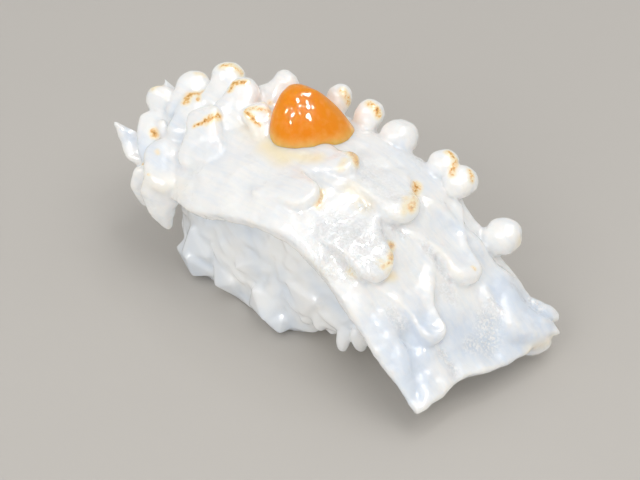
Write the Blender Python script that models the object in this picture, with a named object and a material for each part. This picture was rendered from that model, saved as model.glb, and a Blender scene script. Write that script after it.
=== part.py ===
"""Squid nigiri: a pressed block of sushi rice under a draped slab of scored, torched squid, with a dab
of sea urchin sauce on top.

The frame: the origin is on the floor, under the flat underside of the rice and below the crown of the
slab. +X runs along the slab to its uncut near end, +Y across it to the edge with the round knobs, +Z
up. Lengths in the functions are millimetres, and each mesh is turned to metres as it becomes an object.
"""

import math
import random

import bmesh
import bpy
from mathutils import Matrix, Vector

MM = 0.001

# Clearances between touching pieces
GAP = 0.35
GRAIN_GAP = 0.5

# The slab's underside: heights along its two long edges and its crown, as (x, z)
LEFT_Y, CROWN_Y, RIGHT_Y = -13.5, 1.5, 15.5
LEFT_LINE = [(-44, 3), (-32, 11.5), (-21, 17.8), (-10, 21.8), (-1.5, 22.8), (4, 21.3), (10, 17.6),
             (16, 13.2), (22, 8.8), (28, 4.0), (36, 0.5)]
CROWN_LINE = [(-44, 12), (-38, 19), (-30, 23.4), (-20, 25.2), (-8, 25.6), (0, 25.0), (6, 23.0),
              (12, 19.4), (18, 15.0), (24, 10.1), (30, 5.5), (36, 2.4)]
RIGHT_LINE = [(-44, 8), (-33, 17.5), (-23, 22.0), (-11, 24.0), (-2, 24.2), (5.5, 23.0), (11, 20.0),
              (16, 16.3), (21, 12.2), (25, 9.4), (30, 6.6), (36, 4.4)]

# The slab's plan: its two ends, its width, and how the far end narrows and both ends round off
FAR_X, NEAR_X = -41.0, 30.6
NEAR_SKEW = 3.3
MID_Y, HALF_WIDTH = 1.0, 14.5
FAR_NARROWING, FAR_NARROWS_TO = 3.6, 0.32
FAR_ROUNDING = 5.0
EDGE_WAVE = 0.5

# Its thickness
SLAB_THICK, NEAR_THICK = 3.6, 1.9
THIN_FROM_X = 8.0
EDGE_THINNING = 0.42
CELLS_LONG, CELLS_WIDE = 32, 13

# Creases of its free near end, as (y, half width, height)
NEAR_CREASES = [(11.0, 2.6, 2.0), (4.5, 3.0, -0.6), (-8.5, 1.6, -0.8)]
CREASES_FROM_X, CREASES_FULL_X = 19.0, 27.0

# Its turned-down corner, as (y, half width, drop)
CORNER = (9.6, 3.2, 3.0)
CORNER_FROM_X, CORNER_FULL_X = 27.5, 34.0

# Tongues that lie along the slab: the middle of the root and of the round tip in plan, how far the tip
# stands clear of the slab, and its form as lobe() takes it
TONGUES = {
    "near_tongue": dict(root=(13.0, -2.4), tip=(23.0, -5.2), lift=1.0, half_width=2.5, half_thick=1.2,
                        root_width=2.9, dish=0.6, swell=0.4),
    "near_back_tongue": dict(root=(10.6, 8.0), tip=(20.3, 6.3), lift=1.1, half_width=2.8, half_thick=1.25,
                             root_width=2.7, dish=0.7, swell=0.2),
    "front_tongue": dict(root=(3.4, -5.0), tip=(12.2, -7.1), lift=1.0, half_width=3.6, half_thick=1.2,
                         root_width=1.8, dish=0.25, swell=0.2),
    "middle_tongue": dict(root=(0.6, 6.0), tip=(8.8, 2.9), lift=1.0, half_width=3.7, half_thick=1.2,
                          root_width=1.7, dish=0.2, swell=0.2),
    "sauce_side_tongue": dict(root=(-9.0, 0.6), tip=(-1.9, 2.2), lift=0.3, half_width=2.7, half_thick=1.2,
                              root_width=1.8),
    "far_front_tongue": dict(root=(-11.0, -5.8), tip=(-2.8, -7.3), lift=0.2, half_width=3.2, half_thick=1.1,
                             root_width=1.8),
    "crest_low": dict(root=(-23.4, -9.2), tip=(-27.4, -4.2), lift=1.2, half_width=3.2, half_thick=1.5,
                      root_width=1.7, tip_round=0.35),
    "crest_by_sauce": dict(root=(-15.5, 0.8), tip=(-20.6, 2.0), lift=0.9, half_width=2.3, half_thick=1.2,
                           root_width=1.5, tip_round=0.4),
}
TONGUE_SQUARENESS, TONGUE_ROOT_DEPTH = 0.5, 1.5

# Knobs, scales and petals that stand out from the slab: the middle of the root in plan, the middle of the
# tip, the plan angle in degrees that the width runs along, and the form as lobe() takes it
KNOBS = {
    "knob_near": dict(root=(18.2, 14.2), tip=(20.5, 17.0, 17.4), half_width=3.0, half_thick=2.9, turn=0),
    "knob_pair_near": dict(root=(10.2, 13.6), tip=(11.8, 16.1, 25.0), half_width=2.5, half_thick=2.4, turn=0),
    "knob_pair_far": dict(root=(6.3, 13.8), tip=(8.0, 16.5, 26.2), half_width=2.4, half_thick=2.3, turn=0),
    "knob_plain": dict(root=(-2.7, 13.0), tip=(-1.4, 16.0, 27.2), half_width=3.2, half_thick=2.8, turn=20),
    "knob_toasted": dict(root=(-8.8, 13.2), tip=(-7.8, 15.8, 29.2), half_width=2.5, half_thick=2.3, turn=20),
    "knob_behind_sauce": dict(root=(-15.5, 14.4), tip=(-15.3, 16.6, 28.8), half_width=2.1, half_thick=2.0,
                              turn=20),
    "finger_by_sauce": dict(root=(-25.5, 6.0), tip=(-22.7, 11.0, 30.4), half_width=2.4, half_thick=2.3, turn=0,
                            root_width=1.5, tip_round=0.7),
    "crest_top_front": dict(root=(-24.5, -2.5), tip=(-26.5, 4.4, 30.2), half_width=2.9, half_thick=2.2,
                            root_width=1.7),
    "crest_top_back": dict(root=(-29.5, 1.0), tip=(-32.4, 7.0, 29.2), half_width=3.0, half_thick=2.2,
                           root_width=1.6, tip_round=0.8),
    "far_round_back": dict(root=(-33.5, -2.5), tip=(-37.2, 3.3, 27.0), half_width=3.1, half_thick=2.2,
                           turn=45, root_width=1.5),
    "far_round_front": dict(root=(-30.5, -5.5), tip=(-34.2, 0.2, 26.5), half_width=2.6, half_thick=1.6,
                            root_width=1.6),
    "far_bud": dict(root=(-36.5, -0.5), tip=(-41.3, -1.5, 25.7), half_width=2.1, half_thick=2.8, turn=-48,
                    pointed=0.2),
    "bud_tip": dict(root=(-37.5, 0.8), tip=(-41.5, 1.0, 27.3), half_width=1.1, half_thick=0.7, pointed=0.7),
    "end_petal": dict(root=(-33.5, -10.3), tip=(-38.4, -5.1, 22.5), half_width=3.2, half_thick=1.4,
                      root_width=0.9, tip_round=0.45),
    "petal_ridge": dict(root=(-32.5, -7.5), tip=(-37.0, -4.8, 23.7), half_width=1.0, half_thick=1.2),
    "ear_petal": dict(root=(-38.5, -9.0), tip=(-44.0, -7.9, 20.9), half_width=2.3, half_thick=0.8, pointed=0.8),
    "round_low_lobe": dict(root=(-33.9, -5.4), tip=(-29.9, -11.2, 20.3), half_width=3.6, half_thick=2.0,
                           root_width=1.1),
    "side_flap": dict(root=(-33.5, -10.5), tip=(-34.8, -11.2, 12.8), half_width=2.0, half_thick=1.3,
                      root_width=1.6, tip_round=0.5),
    "hanging_tip": dict(root=(-28.0, -11.2), tip=(-29.4, -12.6, 12.9), half_width=3.4, half_thick=1.3, turn=30,
                        root_width=1.1, pointed=0.7),
    "hidden_petal": dict(root=(-36.0, 5.5), tip=(-40.4, 8.0, 18.5), half_width=4.0, half_thick=1.6, turn=110,
                         pointed=0.2),
    "corner_roll": dict(root=(27.8, 6.6), tip=(31.8, 12.4, 3.4), half_width=1.7, half_thick=2.9, turn=-48),
    "corner_nub": dict(root=(28.0, 14.0), tip=(31.6, 17.0, 6.4), half_width=1.1, half_thick=1.1),
}
KNOB_SQUARENESS, KNOB_ROOT_DEPTH = 0.82, 1.2
LOBE_SEGMENTS, LOBE_RINGS = 9, 8
RISE_SHARE = 0.62
TAPER_SHARE, POINT_FROM_SHARE = 0.7, 0.35
SWELL_AT, SWELL_REACH, DISH_SPAN = 0.55, 0.5, (0.55, 1.25)
STEP_SHARE, STEP, NO_WIDTH = 0.02, 0.2, 1e-6

# The rice: a squarish ball, cut flat at its foot, tucked in and bowed up under its near end. The bow runs
# between two values of x - BOW_SKEW * y, so it starts further along on the +Y side
RICE_MID = Vector((-8.0, -0.4, 11.0))
RICE_HALF = Vector((24.0, 11.1, 15.2))
RICE_SQUARENESS = 3.4
TUCK, TUCK_FROM_X, TUCK_FULL_X = 0.8, -6.0, 14.0
BOW, BOW_SKEW, BOW_FROM, BOW_FULL = 5.0, 0.75, 4.0, 12.0
CORE_SEGMENTS, CORE_RINGS = 28, 14

# Its grains
GRAIN_HALF = Vector((3.1, 1.35, 1.2))
GRAIN_SEGMENTS, GRAIN_RINGS = 6, 3
GRAIN_ROWS, GRAIN_ROW_PITCH, GRAIN_SPACING = 6, 3.5, 6.4
FIRST_ROW_Z = 1.6
GRAIN_TURN = math.radians(70)
SHIFT_ALONG, SHIFT_UP = 0.18, 0.6
SMALL_GRAIN, LARGE_GRAIN = 0.9, 1.06
RING_STEPS = 360
FLOOR_GAP, MOST_SHIFT = 0.05, 3.0
SEED = 8

# Lumps pressed into its sides, as the middle and the radius, and the middles of the grains that hang from
# its near end
RICE_LUMPS = [
    ((-22.8, -7.4, 8.2), 6.2), ((-24.2, -7.6, 4.4), 6.0), ((-17.3, -7.8, 4.2), 5.4), ((-7.0, -8.4, 4.6), 6.2),
    ((-4.4, -10.0, 2.4), 3.4),
    ((1.6, -6.8, 10.4), 6.6), ((-11.5, -6.8, 11.0), 6.3), ((9.2, -5.4, 12.4), 5.2), ((-21.0, 6.6, 6.2), 5.9),
    ((-10.5, 6.8, 6.6), 5.9), ((0.4, 6.4, 9.6), 5.9), ((-28.0, -0.4, 7.6), 5.4), ((9.4, 5.2, 12.0), 5.0),
    ((12.0, 0.0, 11.6), 5.0),
]
LUMP_FLATTENING, LUMP_GAP, LUMP_LIFT = 0.16, 0.45, 0.1
LUMP_SEED = 3
END_GRAINS = [(0.9, -9.8, 7.4), (3.9, -9.9, 7.5), (8.9, -9.5, 6.1), (11.7, -9.1, 6.9), (14.2, -7.8, 8.2),
              (14.6, -3.4, 8.4), (14.8, 1.4, 8.2), (13.6, 5.6, 8.4), (9.4, 8.6, 7.2), (4.6, 9.2, 6.4)]
END_HANG = 2.4
TOP_SHARE = 0.98

# The sauce: a rounded triangle in plan with a high middle that leans
SAUCE_MID = (-12.9, 6.6)
SAUCE_RADIUS, SAUCE_HEIGHT = 7.05, 6.6
SAUCE_SEGMENTS, SAUCE_RINGS = 20, 12
SAUCE_NEIGHBOURS = ["crest_by_sauce", "sauce_side_tongue"]
SAUCE_FULLNESS, EQUATOR = (2.1, 0.85), 1e-4
SAUCE_LEAN = (-0.34, -0.05)
SAUCE_CORNERS, SAUCE_CORNER_TURN = 0.08, math.radians(143)

# Finishes: sRGB colours, as seen on the real food
SQUID_WHITE = (0.93, 0.93, 0.92)
RICE_WHITE = (0.84, 0.86, 0.88)
SAUCE_ORANGE = (0.93, 0.56, 0.20)


def smooth_step(low, high, value):
    """0 below low, 1 above high, smooth between."""
    t = min(max((value - low) / (high - low), 0.0), 1.0)
    return t * t * (3 - 2 * t)


def along(points, x):
    """The height at x of a smooth curve through (x, z) points: a cubic through each pair of points."""
    last = len(points) - 1
    i = 0
    while i < last - 1 and x > points[i + 1][0]:
        i += 1

    def slope(k):
        before, after = points[max(k - 1, 0)], points[min(k + 1, last)]
        return (after[1] - before[1]) / (after[0] - before[0])

    (x0, z0), (x1, z1) = points[i], points[i + 1]
    run = x1 - x0
    t = (x - x0) / run
    return ((2 * t**3 - 3 * t**2 + 1) * z0 + (t**3 - 2 * t**2 + t) * run * slope(i)
            + (3 * t**2 - 2 * t**3) * z1 + (t**3 - t**2) * run * slope(i + 1))


def underside(x, y):
    """The height of the slab's underside: a parabola across through its three long curves, and creases."""
    left, crown, right = along(LEFT_LINE, x), along(CROWN_LINE, x), along(RIGHT_LINE, x)
    to_left, to_crown, to_right = y - LEFT_Y, y - CROWN_Y, y - RIGHT_Y
    sheet = (left * to_crown * to_right / ((LEFT_Y - CROWN_Y) * (LEFT_Y - RIGHT_Y))
             + crown * to_left * to_right / ((CROWN_Y - LEFT_Y) * (CROWN_Y - RIGHT_Y))
             + right * to_left * to_crown / ((RIGHT_Y - LEFT_Y) * (RIGHT_Y - CROWN_Y)))
    creases = sum(height * math.exp(-(((y - mid) / half) ** 2)) for mid, half, height in NEAR_CREASES)
    mid, half, drop = CORNER
    corner = drop * math.exp(-(((y - mid) / half) ** 2)) * smooth_step(CORNER_FROM_X, CORNER_FULL_X, x)
    return sheet + creases * smooth_step(CREASES_FROM_X, CREASES_FULL_X, x) - corner


def up_from_slab(x, y):
    """The direction straight out of the slab's upper face."""
    along_x = (underside(x + STEP, y) - underside(x - STEP, y)) / (2 * STEP)
    along_y = (underside(x, y + STEP) - underside(x, y - STEP)) / (2 * STEP)
    return Vector((-along_x, -along_y, 1)).normalized()


def slab_thickness(x, v):
    """Thin at the near end, and rounded off towards both long edges (v is -1 and 1 there)."""
    body = SLAB_THICK + (NEAR_THICK - SLAB_THICK) * smooth_step(THIN_FROM_X, NEAR_X, x)
    return body * (1 - EDGE_THINNING * abs(v) ** 6)


def slab_top(x, y):
    """The upper face above (x, y), near enough for what lies on it."""
    return underside(x, y) + slab_thickness(x, 0) / up_from_slab(x, y).z


def slab_place(u, v):
    """The plan position of a point of the slab: u is 0 at the far end and 1 at the near end."""
    half = HALF_WIDTH - FAR_NARROWING * smooth_step(FAR_NARROWS_TO, 0, u) + EDGE_WAVE * math.sin(9 * u + v)
    far = FAR_X + FAR_ROUNDING * abs(v) ** 3 + EDGE_WAVE * math.sin(7 * v)
    near = NEAR_X + NEAR_SKEW * v + EDGE_WAVE * math.sin(6 * v + 1)
    return far + (near - far) * u, MID_Y + v * half


def new_object(name, mesh_in_mm, colour, roughness, subsurface):
    """An object in metres, with its own material."""
    bmesh.ops.recalc_face_normals(mesh_in_mm, faces=mesh_in_mm.faces[:])
    if mesh_in_mm.calc_volume(signed=True) < 0:
        bmesh.ops.reverse_faces(mesh_in_mm, faces=mesh_in_mm.faces[:])
    mesh_in_mm.transform(Matrix.Scale(MM, 4))
    mesh = bpy.data.meshes.new(name)
    mesh_in_mm.to_mesh(mesh)
    mesh_in_mm.free()
    mesh.shade_smooth()
    material = bpy.data.materials.new(name)
    material.use_nodes = True
    shader = material.node_tree.nodes["Principled BSDF"]
    shader.inputs["Base Color"].default_value = (*[part**2.2 for part in colour], 1)
    shader.inputs["Roughness"].default_value = roughness
    shader.inputs["Subsurface Weight"].default_value = subsurface
    shader.inputs["Subsurface Scale"].default_value = 2 * MM
    mesh.materials.append(material)
    made = bpy.data.objects.new(name, mesh)
    bpy.context.scene.collection.objects.link(made)
    return made


def shells(bm):
    """The mesh's separate closed surfaces, each as a set of faces."""
    left = set(bm.faces)
    found = []
    while left:
        shell, edge = set(), [left.pop()]
        while edge:
            face = edge.pop()
            shell.add(face)
            for side in face.edges:
                for other in side.link_faces:
                    if other in left:
                        left.remove(other)
                        edge.append(other)
        found.append(shell)
    return found


def keep_largest_shell(mesh):
    """Fills the small hollows that fusing sealed, and drops loose scraps."""
    bm = bmesh.new()
    bm.from_mesh(mesh)
    found = sorted(shells(bm), key=len)
    extra = [face for shell in found[:-1] for face in shell]
    bmesh.ops.delete(bm, geom=extra, context="FACES")
    bm.to_mesh(mesh)
    bm.free()


def combine(body, pieces, operation):
    """Joins pieces to body or cuts them from it, with one Boolean, and removes them."""
    group = bpy.data.collections.new(body.name + "_pieces")
    bpy.context.scene.collection.children.link(group)
    for piece in pieces:
        bpy.context.scene.collection.objects.unlink(piece)
        group.objects.link(piece)
    change = body.modifiers.new("change", "BOOLEAN")
    change.operation = operation
    change.operand_type = "COLLECTION"
    change.collection = group
    graph = bpy.context.evaluated_depsgraph_get()
    joined = bpy.data.meshes.new_from_object(body.evaluated_get(graph))
    body.modifiers.clear()
    body.data = joined
    for piece in pieces:
        bpy.data.objects.remove(piece)
    bpy.data.collections.remove(group)
    keep_largest_shell(joined)
    return body


def slab():
    """The squid's sheet: a grid laid on the underside, thickened along the way out of it."""
    bm = bmesh.new()
    bmesh.ops.create_grid(bm, x_segments=CELLS_LONG, y_segments=CELLS_WIDE, size=1)
    lower = bm.verts[:]
    raised = bmesh.ops.extrude_face_region(bm, geom=bm.faces[:], use_keep_orig=True)["geom"]
    for vert in [part for part in raised if isinstance(part, bmesh.types.BMVert)]:
        v = vert.co.y
        x, y = slab_place((vert.co.x + 1) / 2, v)
        vert.co = Vector((x, y, underside(x, y))) + up_from_slab(x, y) * slab_thickness(x, v)
    for vert in lower:
        x, y = slab_place((vert.co.x + 1) / 2, vert.co.y)
        vert.co = (x, y, underside(x, y))
    return bm


def cap(distance, radius):
    """The share of full width at a distance from a round end."""
    return math.sqrt(1 - (1 - min(distance / radius, 1)) ** 2)


def lobe(path, length, wide, half_width, half_thick, squareness, root_width=1.0, tip_round=1.0, pointed=0.0,
         dish=0.0, swell=0.0):
    """A round-ended finger along a path, from its buried root to its tip. wide is the way its width runs.
    root_width widens its root, tip_round squares its tip below 1 and pointed narrows it. dish hollows its
    upper face short of the tip, and swell thickens the tip."""
    bm = bmesh.new()
    bmesh.ops.create_uvsphere(bm, u_segments=LOBE_SEGMENTS, v_segments=LOBE_RINGS, radius=1)
    whole = length + half_width
    for vert in bm.verts:
        gone = (vert.co.z + 1) / 2 * whole
        point, ahead = path(gone)
        side = (wide - ahead * wide.dot(ahead)).normalized()
        over = side.cross(ahead)
        ring = math.hypot(vert.co.x, vert.co.y)
        if ring < NO_WIDTH:
            vert.co = point
            continue
        across, up = (math.copysign(abs(part / ring) ** squareness, part) for part in (vert.co.x, vert.co.y))
        share = gone / whole
        taper = root_width + (1 - root_width) * smooth_step(0, TAPER_SHARE, share)
        width = half_width * taper * cap(whole - gone, half_width * tip_round) * cap(gone, half_width)
        width *= 1 - pointed * smooth_step(POINT_FROM_SHARE, 1, share)
        to_tip = (whole - gone) / half_width
        thick = half_thick * cap(whole - gone, half_thick) * cap(gone, half_thick)
        thick *= 1 + swell * math.exp(-(((to_tip - SWELL_AT) / SWELL_REACH) ** 2))
        if up > 0:
            up *= 1 - dish * (1 - across**2) * smooth_step(*DISH_SPAN, to_tip)
        vert.co = point + side * across * width + over * up * thick
    return bm


def tongue(root, tip, lift, **form):
    """A tongue that leaves the slab slowly along it, and stands clear of it by lift at the tip."""
    start, end = Vector(root), Vector(tip)
    length = (end - start).length

    def point_at(share):
        x, y = start + (end - start) * share
        return Vector((x, y, slab_top(x, y) + lift * share - TONGUE_ROOT_DEPTH * (1 - share)))

    def path(gone):
        share = gone / length
        return point_at(share), (point_at(share + STEP_SHARE) - point_at(share - STEP_SHARE)).normalized()

    wide = Vector((*(end - start), 0)).cross(up_from_slab(*tip))
    return lobe(path, length, wide, squareness=TONGUE_SQUARENESS, **form)


def knob(root, tip, turn=40, **form):
    """A knob or petal that leaves the slab along its face and turns out to its tip."""
    start = Vector((*root, slab_top(*root) - KNOB_ROOT_DEPTH))
    end = Vector(tip)
    out = up_from_slab(*root)
    run = end - start
    middle = start + (run - out * run.dot(out)) * RISE_SHARE + out * KNOB_ROOT_DEPTH * RISE_SHARE

    def path(gone):
        t = min(gone / run.length, 1)
        point = start * (1 - t) ** 2 + middle * 2 * t * (1 - t) + end * t**2
        ahead = ((middle - start) * (1 - t) + (end - middle) * t).normalized()
        return point + ahead * max(gone - run.length, 0), ahead

    wide = Vector((math.cos(math.radians(turn)), math.sin(math.radians(turn)), 0))
    return lobe(path, run.length, wide, squareness=KNOB_SQUARENESS, **form)


def squid():
    """The slab with every lobe of the scoring fused on: one piece of squid."""
    finish = (SQUID_WHITE, 0.35, 0.6)
    body = new_object("squid", slab(), *finish)
    lobes = [new_object(name, tongue(**shape), *finish) for name, shape in TONGUES.items()]
    lobes += [new_object(name, knob(**shape), *finish) for name, shape in KNOBS.items()]
    return combine(body, lobes, "UNION")


def rice_girth(x, z):
    """How much the bare core is drawn in at (x, z), where it tucks in under the near end."""
    low = max(1 - z / RICE_MID.z, 0)
    return 1 - TUCK * smooth_step(TUCK_FROM_X, TUCK_FULL_X, x) * low**2


def rice_foot(x, y):
    """How far the block's underside stands off the floor at (x, y), where its near end curves up."""
    return BOW * smooth_step(BOW_FROM, BOW_FULL, x - BOW_SKEW * y)


def rice_core():
    """The pressed block, fitted under the slab."""
    bm = bmesh.new()
    bmesh.ops.create_uvsphere(bm, u_segments=CORE_SEGMENTS, v_segments=CORE_RINGS, radius=1)
    for vert in bm.verts:
        reach = sum(abs(part) ** RICE_SQUARENESS for part in vert.co) ** (-1 / RICE_SQUARENESS)
        x, y, z = (mid + part * reach * half for mid, part, half in zip(RICE_MID, vert.co, RICE_HALF))
        y *= rice_girth(x, max(z, 0))
        vert.co = (x, y, max(min(z, underside(x, y) - GAP), rice_foot(x, y)))
    return bm


def lump(middle, radius, draw):
    """A lump of grains pressed flat-sided, kept off the floor and the slab."""
    bm = bmesh.new()
    bmesh.ops.create_icosphere(bm, subdivisions=1, radius=radius)
    turned = Matrix.Rotation(draw.uniform(0, math.tau), 3, Vector((draw.random(), draw.random(), 1)))
    for vert in bm.verts:
        x, y, z = Vector(middle) + turned @ vert.co * (1 - LUMP_FLATTENING * draw.random())
        vert.co = (x, y, max(min(z, underside(x, y) - LUMP_GAP), rice_foot(x, y) + LUMP_LIFT))
    return bm


def rice_ring_point(angle, z):
    """The point of the bare core's side at a plan angle and a height."""
    power = RICE_SQUARENESS
    rise = min(abs(z - RICE_MID.z) / RICE_HALF.z, TOP_SHARE)
    shrink = (1 - rise**power) ** (1 / power)
    flat = (abs(math.cos(angle)) ** power + abs(math.sin(angle)) ** power) ** (-1 / power)
    x = RICE_MID.x + RICE_HALF.x * shrink * flat * math.cos(angle)
    y = RICE_MID.y + RICE_HALF.y * shrink * flat * math.sin(angle)
    return Vector((x, y * rice_girth(x, z), z))


def grain(place, outwards, turn, size):
    """One grain of rice, lying on the block's side."""
    bm = bmesh.new()
    bmesh.ops.create_uvsphere(bm, u_segments=GRAIN_SEGMENTS, v_segments=GRAIN_RINGS, radius=1)
    level = Vector((0, 0, 1)).cross(outwards).normalized()
    rise = outwards.cross(level)
    length = level * math.cos(turn) + rise * math.sin(turn)
    width = outwards.cross(length)
    for vert in bm.verts:
        lx, ly, lz = vert.co.z * GRAIN_HALF.x, vert.co.x * GRAIN_HALF.y, vert.co.y * GRAIN_HALF.z
        vert.co = place + (length * lx + width * ly + outwards * lz) * size
    return bm


def settle(bm, hang=0.0):
    """Moves a grain clear of the floor and the slab, or above the block's foot but for hang. It says whether
    the grain fits."""
    middle = sum((vert.co for vert in bm.verts), Vector()) / len(bm.verts)
    floor = FLOOR_GAP + max(rice_foot(middle.x, middle.y) - hang, 0)
    lift = max(floor - min(vert.co.z for vert in bm.verts), 0)
    bmesh.ops.translate(bm, verts=bm.verts, vec=(0, 0, lift))
    high = max(vert.co.z - underside(vert.co.x, vert.co.y) for vert in bm.verts) + GRAIN_GAP
    if high > 0:
        bmesh.ops.translate(bm, verts=bm.verts, vec=(0, 0, -high))
    return min(vert.co.z for vert in bm.verts) >= FLOOR_GAP / 2 and high < MOST_SHIFT


def side_grains(draw):
    """Rows of grains round the block's sides, evenly spread, each turned by a draw."""
    made = []
    for row in range(GRAIN_ROWS):
        z = FIRST_ROW_Z + row * GRAIN_ROW_PITCH
        girth = [rice_ring_point(step / RING_STEPS * math.tau, z) for step in range(RING_STEPS + 1)]
        steps = [0.0]
        for a, b in zip(girth, girth[1:]):
            steps.append(steps[-1] + (b - a).length)
        count = round(steps[-1] / GRAIN_SPACING)
        for number in range(count):
            shifted = number + 0.5 * (row % 2) + draw.uniform(-SHIFT_ALONG, SHIFT_ALONG)
            reach = shifted / count % 1 * steps[-1]
            at = next(i for i, gone in enumerate(steps) if gone >= reach)
            height = z + draw.uniform(-SHIFT_UP, SHIFT_UP)
            foot = rice_foot(girth[at].x, girth[at].y) + GRAIN_HALF.y
            place = rice_ring_point(at / RING_STEPS * math.tau, max(height, foot))
            beside = rice_ring_point((at + 2) / RING_STEPS * math.tau, place.z)
            before = rice_ring_point((at - 2) / RING_STEPS * math.tau, place.z)
            outwards = (beside - before).cross(Vector((0, 0, 1))).normalized()
            turn, size = draw.uniform(-GRAIN_TURN, GRAIN_TURN), draw.uniform(SMALL_GRAIN, LARGE_GRAIN)
            bm = grain(place, outwards, turn, size)
            if settle(bm):
                made.append(bm)
            else:
                bm.free()
    return made


def end_grains():
    """Grains that hang side by side from the near end of the block."""
    made = []
    for middle in END_GRAINS:
        outwards = Vector((middle[0] - RICE_MID.x, 2 * (middle[1] - RICE_MID.y), 0)).normalized()
        bm = grain(Vector(middle), outwards, math.pi / 2, 1.0)
        settle(bm, END_HANG)
        made.append(bm)
    return made


def rice():
    """The block with its lumps and grains fused on, as one heap out to its uneven outline."""
    finish = (RICE_WHITE, 0.4, 0.4)
    core = new_object("rice", rice_core(), *finish)
    shaping = random.Random(LUMP_SEED)
    shapes = [lump(*placed, shaping) for placed in RICE_LUMPS]
    shapes += side_grains(random.Random(SEED)) + end_grains()
    return combine(core, [new_object(f"clump_{i}", bm, *finish) for i, bm in enumerate(shapes)], "UNION")


def sauce():
    """A dab with three soft corners and a high middle, lying on the slab between the lobes."""
    bm = bmesh.new()
    bmesh.ops.create_uvsphere(bm, u_segments=SAUCE_SEGMENTS, v_segments=SAUCE_RINGS, radius=1)
    full, round_off = SAUCE_FULLNESS
    for vert in bm.verts:
        angle = math.atan2(vert.co.y, vert.co.x)
        spread = min(math.hypot(vert.co.x, vert.co.y), 1)
        radius = SAUCE_RADIUS * (1 + SAUCE_CORNERS * math.cos(3 * (angle - SAUCE_CORNER_TURN))) * spread
        x = SAUCE_MID[0] + radius * math.cos(angle)
        y = SAUCE_MID[1] + radius * math.sin(angle)
        dome = SAUCE_HEIGHT * (1 - spread**full) ** round_off if vert.co.z > EQUATOR else 0
        lean_x, lean_y = (part * dome for part in SAUCE_LEAN)
        vert.co = (x + lean_x, y + lean_y, slab_top(x, y) + GAP + dome)
    finish = (SAUCE_ORANGE, 0.12, 0.5)
    dab = new_object("sauce", bm, *finish)
    beside = []
    for name in SAUCE_NEIGHBOURS:
        shape = TONGUES[name]
        grown = {key: shape[key] + GAP for key in ("half_width", "half_thick")}
        beside.append(new_object(name, tongue(**{**shape, **grown}), *finish))
    return combine(dab, beside, "DIFFERENCE")


def main():
    for old in list(bpy.data.objects):
        bpy.data.objects.remove(old)
    rice()
    squid()
    sauce()


if __name__ == "__main__":
    main()
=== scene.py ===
"""Squid nigiri, dressed: the torched squid, the rice under it and the sauce on it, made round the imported
solids.

The frame: the origin is under the rice and below the crown of the sheet of squid. +X runs along the
sheet to its uncut near end, +Y across it to the edge with the round knobs, +Z up. The shape's tables and
functions are in millimetres, and each mesh is turned to metres as it is finished.
"""

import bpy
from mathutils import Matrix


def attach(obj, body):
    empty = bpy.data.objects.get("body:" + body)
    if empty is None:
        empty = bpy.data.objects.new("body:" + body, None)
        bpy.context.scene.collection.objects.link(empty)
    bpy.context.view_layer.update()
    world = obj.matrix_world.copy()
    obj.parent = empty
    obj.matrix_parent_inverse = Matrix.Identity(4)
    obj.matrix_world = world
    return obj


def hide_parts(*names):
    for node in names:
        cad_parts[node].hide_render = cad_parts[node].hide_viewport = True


bl_info = {
    "name": "Squid Nigiri",
    "version": (1, 0, 0),
    "blender": (4, 5, 0),
    "location": "3D View > Sidebar > Nigiri",
    "description": "Makes a squid nigiri's torched squid, rice and sauce, and a plain stage for it",
    "category": "Add Mesh",
}

import math
import random

import bmesh
import bpy
import numpy as np
from bpy.props import FloatProperty, FloatVectorProperty, IntProperty, PointerProperty
from mathutils import Matrix, Vector, noise
from mathutils.bvhtree import BVHTree

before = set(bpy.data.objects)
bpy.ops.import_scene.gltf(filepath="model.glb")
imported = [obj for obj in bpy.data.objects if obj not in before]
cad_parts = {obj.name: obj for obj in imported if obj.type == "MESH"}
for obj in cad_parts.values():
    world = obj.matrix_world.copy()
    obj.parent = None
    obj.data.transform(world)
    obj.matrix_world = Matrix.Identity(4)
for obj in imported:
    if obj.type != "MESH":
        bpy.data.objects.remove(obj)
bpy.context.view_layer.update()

MM = 0.001

# The sheet's underside: heights along its two long edges and its crown, as (x, z)
LEFT_Y, CROWN_Y, RIGHT_Y = -13.5, 1.5, 15.5
LEFT_LINE = [(-44, 3), (-32, 11.5), (-21, 17.8), (-10, 21.8), (-1.5, 22.8), (4, 21.3), (10, 17.6),
             (16, 13.2), (22, 8.8), (28, 4.0), (36, 0.5)]
CROWN_LINE = [(-44, 12), (-38, 19), (-30, 23.4), (-20, 25.2), (-8, 25.6), (0, 25.0), (6, 23.0),
              (12, 19.4), (18, 15.0), (24, 10.1), (30, 5.5), (36, 2.4)]
RIGHT_LINE = [(-44, 8), (-33, 17.5), (-23, 22.0), (-11, 24.0), (-2, 24.2), (5.5, 23.0), (11, 20.0),
              (16, 16.3), (21, 12.2), (25, 9.4), (30, 6.6), (36, 4.4)]

# The sheet's plan: its two ends, its width, and how the far end narrows and both ends round off
FAR_X, NEAR_X = -41.0, 30.6
NEAR_SKEW = 3.3
MID_Y, HALF_WIDTH = 1.0, 14.5
FAR_NARROWING, FAR_NARROWS_TO = 3.6, 0.32
FAR_ROUNDING = 5.0
EDGE_WAVE, SIDE_WAVES, FAR_WAVES, NEAR_WAVES = 0.5, 9, 7, 6
THIN_FROM_X = 8.0
EDGE_THINNING, EDGE_SHARPNESS = 0.42, 6
CELLS_LONG, CELLS_WIDE = 130, 52

# Wide creases of its free near end, as (y, half width, height)
NEAR_CREASES = [(11.0, 2.6, 2.0), (4.5, 3.0, -0.6), (-8.5, 1.6, -0.8)]
CREASES_FROM_X, CREASES_FULL_X = 19.0, 27.0

# Its turned-down corner, as (y, half width, drop)
CORNER = (9.6, 3.2, 3.0)
CORNER_FROM_X, CORNER_FULL_X = 27.5, 34.0

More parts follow.
